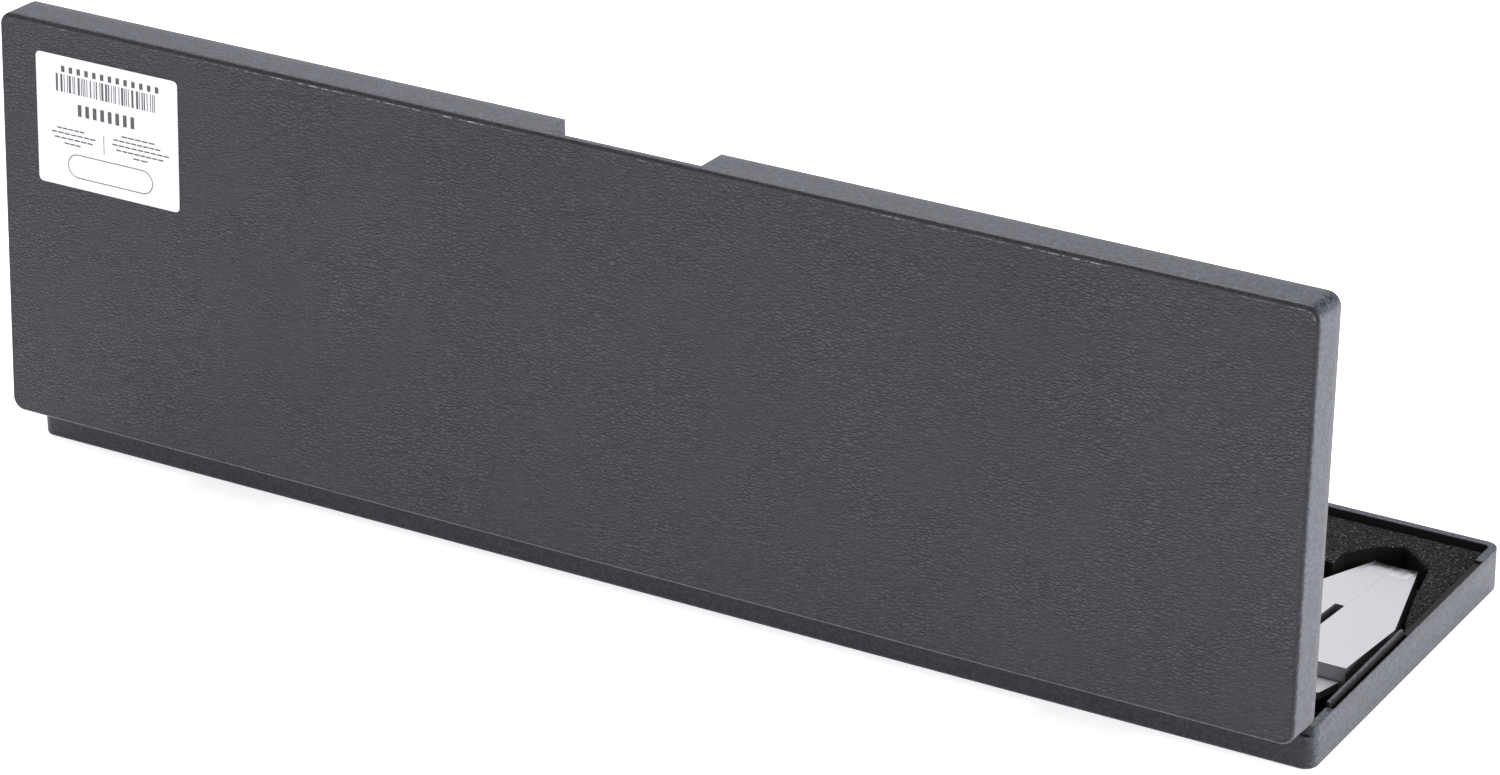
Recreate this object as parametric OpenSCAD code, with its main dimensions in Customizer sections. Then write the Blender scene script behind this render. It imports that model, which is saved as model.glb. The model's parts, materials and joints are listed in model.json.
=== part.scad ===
// Slide caliper with crossed knife tips and fine adjustment, in a hinged plastic case lined with foam.
// The case stands open. X runs along the hinge, Y from the hinge to the front, Z up.
// The origin is the centre of the case's underside.

/* [Case] */
// Length of the case along the hinge
case_l = 420; // [415:1:430]
// Depth of the case from hinge to front
case_w = 125; // [124:0.5:128]
// Height of each half
half_h = 13.3; // [13.2:0.1:14]
// Radius of the upright corners
corner_r = 4; // [3.5:0.5:6]
// Thickness of the side walls
wall = 2.6; // [2.5:0.1:3]
// Thickness of the floor and of the lid's plate
skin = 1.2; // [1:0.05:1.25]
// Angle between the closed lid and the lid as it stands
lid_open = 87.2; // [70:0.1:100]
// Gap left between the two halves when shut
shut_gap = 0.1; // [0.05:0.05:0.2]

/* [Hinge] */
// Radius of the moulded knuckles
knuckle_r = 2.2; // [2:0.1:2.3]
// Radius of the steel pins
pin_r = 0.8; // [0.6:0.1:1]
// Length of the knuckle on the lid
lid_knuckle_l = 12; // [8:1:16]
// Length of each knuckle on the base
base_knuckle_l = 9.6; // [8:0.2:12]
// Distance of each hinge from the middle
hinge_x = 140; // [100:5:180]

/* [Latch] */
// Width of the finger scoop in the lid's front
scoop_w = 50; // [40:1:60]
// Depth of the finger scoop
scoop_d = 7; // [6:0.5:9]
// Thickness of the latch clip
clip_t = 2; // [1.6:0.1:2.2]
// Height of the clip above its pivot
clip_h = 18.1; // [17.8:0.1:18.6]
// Height of the clip's pivot above the underside
clip_pivot_z = 4.4; // [4.3:0.1:4.8]

/* [Foam] */
// Height of the base foam's top
foam_top = 11; // [9:0.5:12]
// Thickness of the lid's foam sheet
lid_foam_t = 5; // [3:0.5:6]
// Front edge of the bay that the jaws lie in
bay_front = 95; // [94:0.5:96]
// Front edge of the strip in front of the bay
strip_front = 110; // [109.5:0.5:112]

/* [Label] */
// Length of the label
label_l = 50; // [30:1:60]
// Height of the label
label_h = 40; // [20:1:50]

/* [Caliper] */
// Measuring range
reach_max = 300; // [290:1:300]
// Height of the beam
beam_h = 16.2; // [15.6:0.1:16.3]
// Thickness of the beam
beam_t = 4; // [3.6:0.1:4]
// Thickness of the jaws
jaw_t = 6.6; // [6.4:0.1:6.7]
// Width of the fixed head
head_w = 18.6; // [18:0.1:19]
// Distance from the head's top edge to the jaw tips
jaw_reach = 75.7; // [70:0.1:76]
// Distance from the head's top edge to where the jaws start to taper
jaw_shoulder = 32.4; // [30:0.1:36]
// Width of each jaw at its tip
tip_w = 6.6; // [5:0.1:8]
// Depth of the relief slot between the jaws
relief_end = 40; // [36:0.5:44]
// Length of the crossed knife tips
knife_l = 21; // [16:0.5:21.5]
// Tilt of the caliper in the foam, jaw tips down
seat_tilt = 5.5; // [5.4:0.1:5.6]

/* [Slider] */
// Start of the slider's housing, from the head's outer edge
slider_u = 33.5; // [33:0.5:35]
// Length of the slider's housing
slider_l = 46.5; // [46:0.5:47]
// Length of the carriage
carriage_l = 14; // [13.5:0.5:14]
// Travel of the fine adjustment
fine_travel = 4; // [3:0.5:4]
// Radius of the knurled nut
nut_r = 5.2; // [4.5:0.1:5.3]
// Radius of the knurled lock screw heads
knob_r = 4.5; // [4:0.1:5]

/* [Hidden] */
$fn = 64;

eps = 0.01;
fit = 0.05;                      // running clearance
inner_l = case_l - 2 * wall;
inner_w = case_w - 2 * wall;
inner_r = corner_r - wall;

tongue_w = 1.2;                  // locating tongue on the base's end walls
tongue_h = 1.6;
tongue_y0 = 13;
tongue_y1 = 61;
groove_s = 0.35;                 // outer edge of the groove beside the tongue
rebate_s = 0.9;
rebate_y1 = 112;
rebate_h = 0.8;

hinge_set = 1.3;                 // set-back of the wall beside the hinge line
hinge_drop = 3.3;
pocket_r = knuckle_r + 0.15;
base_knuckle_x = (lid_knuckle_l + base_knuckle_l) / 2 + 0.2;

scoop_wall = 1.5;
catch_h = 1.5;                   // ledge that the latch hooks over
catch_w0 = 4.6;
catch_reach = 2.9;
clip_y = case_w - 0.15 - clip_t;
clip_half = scoop_w / 2 - 0.1;
clip_boss = 2;                   // wall behind the clip
stub_r = 0.7;
stub_l = 1.5;

foam_gap = 0.15;
foam_low = skin + 0.1;
trough_floor = 3.8;              // top of the thin foam under the beam
trough_back = 8;
trough_front = 63;
trough_left = 412;               // distances from the case's right end
bay_left = 352;
bay_right = 38.5;

// Distance of the head's outer top corner from the case's right end, the hinge and the floor
seat_s = 5.5;
seat_y = 32.1;
seat_z = 15.3;

beam_top = 0.8;                  // beam's top edge, below the head's top edge
beam_face = 1.3;                 // beam's front face, behind the head's face
beam_low = beam_top + beam_h;
beam_back = beam_face + beam_t;
face_t = -0.8;                   // front face of the slider and the carriage
rail_h = 4;                      // height of their top rail above the head's edge
frame_low = 21;                  // their lower edge
channel_top = 0.1;
knife_split = 4.1;               // depth that divides the crossed tips
knife_gap = 0.35;                // between the head's edge and the moving tip
slide_mid = (face_t + jaw_t) / 2 + 0.4;
spindle_h = 24;
spindle_r = 1.5;
nut_l = 6;
jaw_faces_gap = 0.02;
relief_w = 2.9;
vernier_h0 = 12.6;
vernier_h1 = 20.2;
vernier_u0 = slider_u + 4.5;
vernier_l = slider_l - 7.5;
pocket_t = 0.2;
stop_l = 3.5;
stop_end = 0.3;                  // bare end of the beam past the stop

// Places along the beam, measured from the head's outer edge
slider_end = slider_u + slider_l;
slider_mid = slider_u + slider_l / 2;
carriage_u = slider_end + fine_travel + 3;
carriage_end = carriage_u + carriage_l;
carriage_mid = carriage_u + carriage_l / 2;
nut_u = carriage_mid - nut_l / 2;
beam_l = carriage_end + reach_max + stop_l + stop_end + 0.7;
stop_u = beam_l - stop_l - stop_end;
plate_screws_u = [vernier_u0 + 4, vernier_u0 + vernier_l - 4];
plate_screws_h = 18.7;
gib_screws_u = [slider_u + 10, slider_end - 10];
stop_screws_h = [beam_top + 4, beam_low - 4];

// ---------- shared shapes ----------

// Rectangle with round corners, centred in X, from y0 in Y
module round_rect(l, w, r) {
    translate([0, w / 2]) {
        square([l - 2 * r, w], center = true);
        square([l, w - 2 * r], center = true);
        for (x = [-1, 1], y = [-1, 1])
            translate([x * (l / 2 - r), y * (w / 2 - r)]) circle(r);
    }
}

// Moves case coordinates, with the hinge line at y = 0, onto the centred origin
module in_case() { translate([0, -case_w / 2, 0]) children(); }

// The lid is drawn shut, from its rim at z = 0 up to its plate, then turned open
module on_lid() { in_case() translate([0, 0, half_h]) rotate([lid_open, 0, 0]) children(); }

// The caliper is drawn with u from the head's outer edge, h down the jaw and depth below the head's face
module on_seat() {
    in_case() translate([case_l / 2 - seat_s, seat_y, seat_z])
        rotate([-seat_tilt, 0, 0]) mirror([1, 0, 0]) children();
}

// Block between two values of u, h and depth
module block(u0, u1, h0, h1, t0, t1) {
    translate([u0, h0, -t1]) cube([u1 - u0, h1 - h0, t1 - t0]);
}

// Plate of a drawn outline between two depths
module plate(t0, t1) { translate([0, 0, -t1]) linear_extrude(t1 - t0) children(); }

// Round bar along h, u or the depth
module bar_h(u, t, r, h0, h1) { translate([u, h1, -t]) rotate([90, 0, 0]) cylinder(r = r, h = h1 - h0); }
module bar_u(h, t, r, u0, u1) { translate([u0, h, -t]) rotate([0, 90, 0]) cylinder(r = r, h = u1 - u0); }
module bar_t(u, h, r, t0, t1) { translate([u, h, -t1]) cylinder(r = r, h = t1 - t0); }

// Bars along X on the hinge line, centred on x
module hinge_bar(x, l, r) { translate([x - l / 2, 0, 0]) rotate([0, 90, 0]) cylinder(r = r, h = l); }

module each_hinge() { for (x = [-hinge_x, hinge_x]) translate([x, 0, 0]) children(); }

module base_knuckles(l, r) { each_hinge() for (x = [-1, 1]) hinge_bar(x * base_knuckle_x, l, r); }

// Both end walls, drawn once at the right end, with s from the outside
module each_end() {
    for (m = [0, 1]) mirror([m, 0, 0]) translate([case_l / 2, 0, 0]) mirror([1, 0, 0]) children();
}

// ---------- case ----------

module case_base() {
    color("#34353b") in_case() difference() {
        union() {
            difference() {
                linear_extrude(half_h) round_rect(case_l, case_w, corner_r);
                translate([0, wall, skin]) linear_extrude(half_h) round_rect(inner_l, inner_w, inner_r);
                translate([-case_l / 2, -1, half_h - hinge_drop]) cube([case_l, 1 + hinge_set, half_h]);
            }
            translate([-scoop_w / 2 - 2, case_w - wall - clip_boss + 0.2, 0])
                cube([scoop_w + 4, clip_boss + 0.2, half_h]);
            each_end() translate([wall - tongue_w + 0.1, tongue_y0, half_h - 2])
                cube([tongue_w, tongue_y1 - tongue_y0, 2 + tongue_h]);
            translate([0, 0, half_h]) base_knuckles(base_knuckle_l, knuckle_r);
            each_hinge() for (x = [-1, 1])
                translate([x * base_knuckle_x - base_knuckle_l / 2, 0, half_h - hinge_drop - 0.5])
                    cube([base_knuckle_l, hinge_set + 0.5, hinge_drop + 0.5]);
        }
        // grooves beside the tongues, and the shallow rebate in front of them
        each_end() {
            translate([groove_s, tongue_y0 - 0.3, half_h - tongue_h])
                cube([wall - tongue_w + 0.1 - groove_s, tongue_y1 - tongue_y0 + 0.6, 3]);
            translate([rebate_s, tongue_y1 + 0.3, half_h - rebate_h])
                cube([wall, rebate_y1 - tongue_y1, 3]);
        }
        // pockets for the lid's knuckles, and the pin bores
        translate([0, 0, half_h]) {
            each_hinge() hinge_bar(0, lid_knuckle_l + 0.4, pocket_r);
            each_hinge() hinge_bar(0, 60, pin_r + fit);
        }
        // recess and pivot holes of the latch clip
        translate([-clip_half - 0.2, clip_y - 0.15, clip_pivot_z - clip_t / 2 - 0.2])
            cube([2 * clip_half + 0.4, 4, half_h]);
        translate([-clip_half - stub_l - 0.2, clip_y + clip_t / 2, clip_pivot_z])
            rotate([0, 90, 0]) cylinder(r = stub_r + fit, h = 2 * (clip_half + stub_l + 0.2));
    }
}

module case_lid() {
    scoop_back = case_w - scoop_d;
    plate_w = half_h - skin;
    color("#3c3d45") on_lid() difference() {
        union() {
            difference() {
                translate([0, 0, shut_gap]) linear_extrude(half_h - shut_gap)
                    round_rect(case_l, case_w, corner_r);
                translate([0, wall, -1]) linear_extrude(plate_w + 1) round_rect(inner_l, inner_w, inner_r);
                translate([-case_l / 2, -1, -1]) cube([case_l, 1 + hinge_set, 1 + hinge_drop]);
            }
            // walls of the finger scoop and the ledge for the latch
            translate([-scoop_w / 2 - scoop_wall, scoop_back - scoop_wall, shut_gap])
                cube([scoop_w + 2 * scoop_wall, scoop_d + scoop_wall - 1, plate_w]);
            hinge_bar(-hinge_x, lid_knuckle_l, knuckle_r);
            hinge_bar(hinge_x, lid_knuckle_l, knuckle_r);
            each_hinge() translate([-lid_knuckle_l / 2, 0, 0])
                cube([lid_knuckle_l, hinge_set + 0.5, hinge_drop + 0.5]);
            // tongues that drop into the base's shallow rebates
            each_end() translate([wall - tongue_w + 0.1, tongue_y1 + 1, -rebate_h + 0.2])
                cube([tongue_w - 0.1, rebate_y1 - tongue_y1 - 2, 2]);
        }
        // grooves that take the base's tongues
        each_end() translate([wall - tongue_w - 0.2, tongue_y0 - 0.5, -1])
            cube([tongue_w + 0.6, tongue_y1 - tongue_y0 + 1, tongue_h + 1.3]);
        difference() {
            translate([-scoop_w / 2, scoop_back, -1]) cube([scoop_w, scoop_d + 1, plate_w + 1]);
            translate([-scoop_w / 2 + 7, scoop_back - eps, catch_w0])
                cube([scoop_w - 14, catch_reach, catch_h]);
        }
        base_knuckles(base_knuckle_l + 0.4, pocket_r);
        each_hinge() hinge_bar(0, 60, pin_r + fit);
    }
}

module hinge_pins() {
    pin_l = lid_knuckle_l + 2 * base_knuckle_l;
    color("silver") in_case() translate([0, 0, half_h]) each_hinge() hinge_bar(0, pin_l, pin_r);
}

module latch_clip() {
    hook_z = half_h + catch_w0 + catch_h + 0.2;
    hook_y = case_w - scoop_d + catch_reach - 1;
    color("#2b2c31") in_case() {
        translate([-clip_half, clip_y, clip_pivot_z]) cube([2 * clip_half, clip_t, clip_h]);
        translate([-clip_half, clip_y + clip_t / 2, clip_pivot_z])
            rotate([0, 90, 0]) cylinder(r = clip_t / 2, h = 2 * clip_half);
        translate([-clip_half - stub_l, clip_y + clip_t / 2, clip_pivot_z])
            rotate([0, 90, 0]) cylinder(r = stub_r, h = 2 * (clip_half + stub_l));
        translate([-scoop_w / 2 + 9, hook_y, hook_z]) cube([scoop_w - 18, clip_y - hook_y + 0.5, 1.4]);
    }
}

// ---------- foam ----------

// Distances from the right end become X
module from_right() { translate([case_l / 2, 0]) mirror([1, 0]) children(); }

module foam_outline() {
    difference() {
        translate([0, wall + foam_gap]) round_rect(inner_l - 2 * foam_gap, inner_w - 2 * foam_gap, inner_r);
        translate([-scoop_w / 2 - 3, case_w - wall - clip_boss]) square([scoop_w + 6, 10]);
    }
}

module base_foam() {
    bay_back = 65.4;
    bay_edge = [[0, bay_back], [3.3, bay_back], [6.4, 73.6], [9.7, 86.4], [12.4, 100], [13.4, 104.9],
                [24.8, 114.6], [32.3, 110.2], [37.6, 104], [bay_right + 1, 98]];
    bay_start = 20;
    bay_l = bay_left - bay_right;
    color("#2b2a2a") in_case() translate([0, 0, foam_low]) linear_extrude(foam_top - foam_low) difference() {
        foam_outline();
        from_right() {
            translate([0, trough_back]) square([trough_left, trough_front - trough_back]);
            polygon(concat([[0, trough_front - 1]], bay_edge, [[bay_right + 1, trough_front - 1]]));
            translate([bay_start, trough_front - 1])
                square([bay_left - bay_start, bay_front - trough_front + 1]);
            translate([bay_right, bay_front - 1]) square([bay_l, strip_front - bay_front + 1]);
        }
    }
    color("#2b2a2a") in_case() translate([0, 0, foam_low]) linear_extrude(trough_floor - foam_low)
        intersection() {
            foam_outline();
            translate([-case_l / 2, 0]) square([case_l, trough_front]);
        }
}

module foam_jaw_strip() {
    strip_gap = [0.6, 0.1];      // to the foam on its right and on its left
    strip_l = bay_left - bay_right - strip_gap[0] - strip_gap[1];
    color("#2b2a2a") in_case() translate([0, 0, foam_low]) linear_extrude(foam_top - foam_low) from_right()
        translate([bay_right + strip_gap[0], bay_front]) square([strip_l, strip_front - bay_front - 0.1]);
}

module lid_foam() {
    color("#2b2a2a") on_lid() translate([0, 0, half_h - skin - lid_foam_t]) linear_extrude(lid_foam_t - eps)
        difference() {
            translate([0, wall + foam_gap])
                round_rect(inner_l - 2 * foam_gap, inner_w - 2 * foam_gap, inner_r);
            translate([-scoop_w / 2 - 3, case_w - scoop_d - scoop_wall - 0.5]) square([scoop_w + 6, 20]);
        }
}

module label() {
    label_x = -case_l / 2 + 12.9 + label_l / 2;
    label_y = case_w - 9.4 - label_h;
    color("white") on_lid() translate([label_x, label_y, half_h + eps]) linear_extrude(0.12)
        round_rect(label_l, label_h, 1.5);
}

// ---------- caliper ----------

// Outline of a jaw on the positive side of its measuring face at u = 0
module jaw_outline(root_w) {
    polygon([[0, beam_low], [0, jaw_reach], [tip_w, jaw_reach], [root_w, jaw_shoulder], [root_w, beam_low]]);
}

// Outline of a knife tip on the positive side of its measuring edge, down to foot
module knife_outline(foot) {
    tip_slope_w = 11;            // the tip slopes from its point to this width, 7.5 lower down
    knee = [15.5, -9.8];
    foot_w = 17;
    polygon([[0, foot], [0, -knife_l], [tip_slope_w, 7.5 - knife_l], knee, [foot_w, foot]]);
}

// Hollow ground along the tips of both jaws, deepest where their faces meet
module tip_hollow() {
    grind_r = 50;
    depth = 0.4;
    length = 7.8;
    bar_h(head_w, depth - grind_r, grind_r, jaw_reach - length, jaw_reach + 1, $fn = 128);
}

module caliper_beam() {
    color("#d4d6dc") on_seat() difference() {
        union() {
            block(head_w - 1, beam_l, beam_top, beam_low, beam_face, beam_back);
            plate(0, jaw_t) polygon([[0, 0], [head_w, 0], [head_w, beam_low + 1], [0, beam_low + 1]]);
            plate(0, jaw_t) translate([head_w, 0]) mirror([1, 0]) jaw_outline(head_w);
            plate(0, knife_split) translate([head_w, 0]) intersection() {
                knife_outline(beam_top + 0.1);
                translate([0, -knife_l]) square([12, knife_l + 5]);
            }
            plate(beam_face, knife_split) translate([head_w - 1, -1]) square([12.5, 3]);
        }
        tip_hollow();
        for (h = stop_screws_h) bar_t(stop_u + stop_l / 2, h, 0.95, 0, 10);
    }
}

// Housing that runs on the beam, with its front face, top rail and channel
module housing(u0, u1) {
    difference() {
        block(u0, u1, -rail_h, frame_low, face_t, jaw_t);
        block(u0 - 1, u1 + 1, channel_top, beam_low + fit, beam_face - fit, beam_back + fit);
    }
}

module slider() {
    root_u = head_w + jaw_faces_gap;
    color("#cfd1d7") on_seat() difference() {
        union() {
            housing(slider_u, slider_end);
            // moving jaw, with the relief slot along the upper part of its face
            difference() {
                plate(0, jaw_t) translate([root_u, 0]) jaw_outline(20);
                block(0, head_w + relief_w, 0, relief_end, -1, jaw_t + 1);
                block(0, 60, 0, beam_low + fit, -1, jaw_t + 1);
            }
            block(head_w + fit, slider_u + 1, -rail_h, frame_low, beam_back + fit, jaw_t);
            block(head_w + fit, slider_u + 1, -rail_h, -knife_gap, knife_split + 0.3, jaw_t);
            plate(knife_split + 0.3, jaw_t) translate([root_u, 0]) mirror([1, 0]) knife_outline(-knife_gap);
            block(head_w - 3, head_w + 3, -rail_h, -knife_gap, knife_split + 0.3, jaw_t);
            block(slider_end - 9, slider_end, frame_low - 1, spindle_h + 3, slide_mid - 3, slide_mid + 3);
        }
        tip_hollow();
        // reading window and the seat of the vernier plate
        block(vernier_u0, vernier_u0 + vernier_l, 4, beam_low + 0.5, -2, beam_face + 0.5);
        block(vernier_u0, vernier_u0 + vernier_l, 4, vernier_h1 + 0.1, -2, pocket_t);
        for (u = plate_screws_u) bar_t(u, plate_screws_h, 0.8, -2, 2.2);
        bar_h(slider_mid, slide_mid, 2 + fit, -10, 1);
        for (u = gib_screws_u) bar_h(u, slide_mid, 1.3, -10, 1);
        bar_u(spindle_h, slide_mid, spindle_r + fit, slider_end - 8, slider_end + 5);
    }
}

module vernier_plate() {
    vernier_end = vernier_u0 + vernier_l - 0.1;
    color("#e2e4e8") on_seat() difference() {
        union() {
            block(vernier_u0 + 0.1, vernier_end, vernier_h0, vernier_h1, face_t, pocket_t - eps);
            block(vernier_u0 + 0.1, vernier_end, vernier_h0, beam_low - 0.2, face_t, beam_face - 0.1);
        }
        for (u = plate_screws_u) bar_t(u, plate_screws_h, 0.85, -2, 2);
    }
}

module vernier_screws() {
    color("silver") on_seat() for (u = plate_screws_u) {
        bar_t(u, plate_screws_h, 0.75, face_t - 0.1, 2);
        bar_t(u, plate_screws_h, 1.3, face_t - 0.5, face_t - eps);
    }
}

module gib(u0, u1) { block(u0, u1, channel_top + fit, beam_top - fit, beam_face + 0.2, beam_back - 0.2); }

module slider_gib() { color("#c9a86a") on_seat() gib(slider_u + 3, slider_end - 3); }

module carriage_gib() { color("#c9a86a") on_seat() gib(carriage_u + 1, carriage_end - 1); }

module gib_screws() {
    color("silver") on_seat() for (u = gib_screws_u)
        bar_h(u, slide_mid, 1.25, -rail_h + 0.2, channel_top);
}

// Knurled thumb screw through the top rail
module lock_screw(u) {
    bar_h(u, slide_mid, 2, -rail_h - 2, channel_top);
    bar_h(u, slide_mid, 3, -rail_h - 2.5, -rail_h - 0.3);
    bar_h(u, slide_mid, knob_r, -rail_h - 8.5, -rail_h - 2);
}

module slider_lock_screw() { color("#c8cad0") on_seat() lock_screw(slider_mid); }

module carriage_lock_screw() { color("#c8cad0") on_seat() lock_screw(carriage_mid); }

module carriage() {
    color("#cfd1d7") on_seat() difference() {
        union() {
            housing(carriage_u, carriage_end);
            block(carriage_u, carriage_end, frame_low - 1, spindle_h + 4, face_t, jaw_t);
        }
        block(nut_u - 0.15, nut_u + nut_l + 0.15, spindle_h - nut_r - 0.4, 40, -5, 15);
        bar_u(spindle_h, slide_mid, spindle_r + fit, carriage_u - 1, carriage_end + 1);
        bar_h(carriage_mid, slide_mid, 2 + fit, -10, 1);
    }
}

module fine_spindle() {
    color("silver") on_seat() bar_u(spindle_h, slide_mid, spindle_r, slider_end - 7.9, carriage_end + 2);
}

module fine_nut() {
    color("#c8cad0") on_seat() difference() {
        bar_u(spindle_h, slide_mid, nut_r, nut_u, nut_u + nut_l);
        bar_u(spindle_h, slide_mid, spindle_r + fit, nut_u - 1, nut_u + nut_l + 1);
    }
}

module end_stop() {
    color("#c8cad0") on_seat() difference() {
        block(stop_u, stop_u + stop_l, beam_top + 1.2, beam_low - 1.2, 0.1, beam_face - eps);
        for (h = stop_screws_h) bar_t(stop_u + stop_l / 2, h, 1, -1, 3);
    }
}

module end_stop_screws() {
    color("silver") on_seat() for (h = stop_screws_h) {
        bar_t(stop_u + stop_l / 2, h, 0.9, 0, 4.8);
        bar_t(stop_u + stop_l / 2, h, 1.5, -0.5, 0.1 - eps);
    }
}

case_base();
case_lid();
hinge_pins();
latch_clip();
base_foam();
foam_jaw_strip();
lid_foam();
label();
caliper_beam();
slider();
vernier_plate();
vernier_screws();
slider_gib();
gib_screws();
slider_lock_screw();
carriage();
carriage_gib();
carriage_lock_screw();
fine_spindle();
fine_nut();
end_stop();
end_stop_screws();
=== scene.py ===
"""Looks of a slide caliper lying in its open plastic case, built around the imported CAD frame.

Lengths in this script are millimetres until a mesh is made. Case coordinates: x along the hinge, y from
the hinge to the front, z up. The lid's own coordinates are those of the shut lid. The caliper's coordinates
are u from the outer edge of the fixed head, h down the jaws, and t below the head's face.
"""
import json
import math
import random

import bmesh
import bpy
from mathutils import Matrix, Vector, noise


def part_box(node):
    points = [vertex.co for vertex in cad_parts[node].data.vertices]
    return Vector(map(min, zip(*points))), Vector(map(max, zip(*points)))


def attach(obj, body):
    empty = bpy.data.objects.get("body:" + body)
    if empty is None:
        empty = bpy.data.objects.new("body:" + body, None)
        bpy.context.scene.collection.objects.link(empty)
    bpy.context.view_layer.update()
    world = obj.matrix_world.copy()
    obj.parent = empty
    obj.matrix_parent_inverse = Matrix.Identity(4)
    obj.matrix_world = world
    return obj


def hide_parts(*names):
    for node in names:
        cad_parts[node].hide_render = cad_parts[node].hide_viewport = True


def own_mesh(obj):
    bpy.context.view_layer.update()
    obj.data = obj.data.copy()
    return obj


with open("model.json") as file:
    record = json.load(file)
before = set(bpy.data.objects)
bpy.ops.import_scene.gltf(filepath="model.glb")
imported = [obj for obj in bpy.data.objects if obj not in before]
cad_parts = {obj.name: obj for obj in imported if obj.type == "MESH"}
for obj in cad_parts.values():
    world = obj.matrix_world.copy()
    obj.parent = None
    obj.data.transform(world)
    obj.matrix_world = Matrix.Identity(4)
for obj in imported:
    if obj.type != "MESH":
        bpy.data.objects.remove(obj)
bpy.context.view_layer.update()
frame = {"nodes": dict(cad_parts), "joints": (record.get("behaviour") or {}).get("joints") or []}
MM = 0.001

# ---------- dimensions ----------

joints = {j["name"]: j for j in frame["joints"]}
base_lo, base_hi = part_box("case_base")
CASE_L = (base_hi[0] - base_lo[0]) / MM
HINGE_Y = joints["lid_hinge"]["pos_m"][1] / MM
HALF_H = joints["lid_hinge"]["pos_m"][2] / MM
CASE_W = -2 * HINGE_Y
LID_OPEN = -math.radians(joints["lid_hinge"]["range_deg"][0])

CORNER_R = 4.0
WALL = 2.6
SKIN = 1.2
SHUT_GAP = 0.1
FACE_FILLET = 1.1
BASE_FILLET = 1.0
RIM_ROUND = 0.25

TONGUE_Y = (13.0, 61.0)
REBATE_Y = (61.3, 112.0)
TONGUE_H = 1.6
REBATE_H = 0.8
GROOVE_S = 0.35
REBATE_S = 0.9
TONGUE_S = 1.5
HINGE_SET = 1.3
HINGE_DROP = 3.3
KNUCKLE_R = 2.2
POCKET = KNUCKLE_R + 0.15
PIN_BORE = 0.85
HINGE_X = 140.0
LID_KNUCKLE_L = 12.0
BASE_KNUCKLE_L = 9.6
KNUCKLE_GAP = 0.2
BASE_KNUCKLE_X = (LID_KNUCKLE_L + BASE_KNUCKLE_L) / 2 + KNUCKLE_GAP

SCOOP_HALF = 25.0
SCOOP_D = 7.0
SCOOP_WALL = 1.5
LEDGE_HALF = 18.0
LEDGE_D = 2.9
LEDGE_Z = (4.6, 6.1)
CLIP_RECESS = 2.3
CLIP_RECESS_Z = 3.2
CLIP_BOSS = 1.8

SEAT_S = 5.5
SEAT_Y = 32.1
SEAT_Z = 15.3
SEAT_TILT = math.atan2(joints["slider_lock_turn"]["axis"][2], -joints["slider_lock_turn"]["axis"][1])
SLIDE_MID = 3.3
SLIDER_LOCK_U = 56.75
CARRIAGE_LOCK_U = 94.0
KNOB_R = 4.5
NUT_U = (91.0, 97.0)
NUT_H = 24.0
NUT_R = 5.2


# ---------- coordinates ----------

def in_case(x, y, z):
    """Case coordinates to the frame, in metres."""
    return Vector((x, y + HINGE_Y, z)) * MM


def on_lid(x, v, w):
    """The shut lid's coordinates (w above the rims) to the frame, with the lid as it stands."""
    c, s = math.cos(LID_OPEN), math.sin(LID_OPEN)
    return in_case(x, v * c - w * s, HALF_H + v * s + w * c)


def on_seat(u, h, t):
    """The caliper's coordinates to the frame."""
    c, s = math.cos(SEAT_TILT), math.sin(SEAT_TILT)
    return in_case(CASE_L / 2 - SEAT_S - u, SEAT_Y + h * c - t * s, SEAT_Z - h * s - t * c)


# ---------- materials ----------

FLOOR_GLOW = 0.75


class Shader:
    """A Principled material with a short way to add nodes."""

    def __init__(self, name, **inputs):
        self.mat = bpy.data.materials.new(name)
        self.mat.use_nodes = True
        self.tree = self.mat.node_tree
        self.bsdf = self.tree.nodes["Principled BSDF"]
        self.set(self.bsdf, inputs)
        self.coord = self.tree.nodes.new("ShaderNodeTexCoord").outputs["Object"]

    def set(self, node, inputs):
        """Sets or links sockets. A socket's name may be written with underscores for its spaces."""
        for key, value in inputs.items():
            socket = node.inputs[key.replace("_", " ") if isinstance(key, str) else key]
            if isinstance(value, bpy.types.NodeSocket):
                self.tree.links.new(value, socket)
            else:
                socket.default_value = value

    def node(self, kind, props=None, **inputs):
        node = self.tree.nodes.new("ShaderNode" + kind)
        for key, value in (props or {}).items():
            setattr(node, key, value)
        self.set(node, inputs)
        return node

    def scaled(self, x, y, z):
        """Object coordinates, in metres, times a factor per axis."""
        return self.node("Mapping", Vector=self.coord, Scale=(x, y, z)).outputs[0]

    def noise(self, scale, detail=3.0, rough=0.5, vector=None):
        node = self.node("TexNoise", Vector=vector or self.coord, Scale=scale, Detail=detail, Roughness=rough)
        return node.outputs["Fac"]

    def voronoi(self, scale, vector=None, feature="F1"):
        node = self.node("TexVoronoi", {"feature": feature}, Vector=vector or self.coord, Scale=scale)
        return node.outputs["Distance"]

    def math(self, operation, a, b=0.0):
        node = self.node("Math", {"operation": operation})
        self.set(node, {0: a, 1: b})
        return node.outputs[0]

    def span(self, value, lo, hi, out_lo=0.0, out_hi=1.0):
        """Maps a value from one span to another, clamped."""
        node = self.node("MapRange", Value=value, From_Min=lo, From_Max=hi, To_Min=out_lo, To_Max=out_hi)
        return node.outputs[0]

    def mix(self, factor, a, b):
        node = self.node("Mix", {"data_type": "RGBA"})
        self.set(node, {0: factor, 6: a, 7: b})
        return node.outputs[2]

    def bump(self, height, distance, strength=1.0):
        return self.node("Bump", Height=height, Distance=distance, Strength=strength).outputs[0]

    def finish(self, **inputs):
        self.set(self.bsdf, inputs)
        return self.mat


def rgb(r, g, b):
    return (r, g, b, 1.0)


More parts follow.
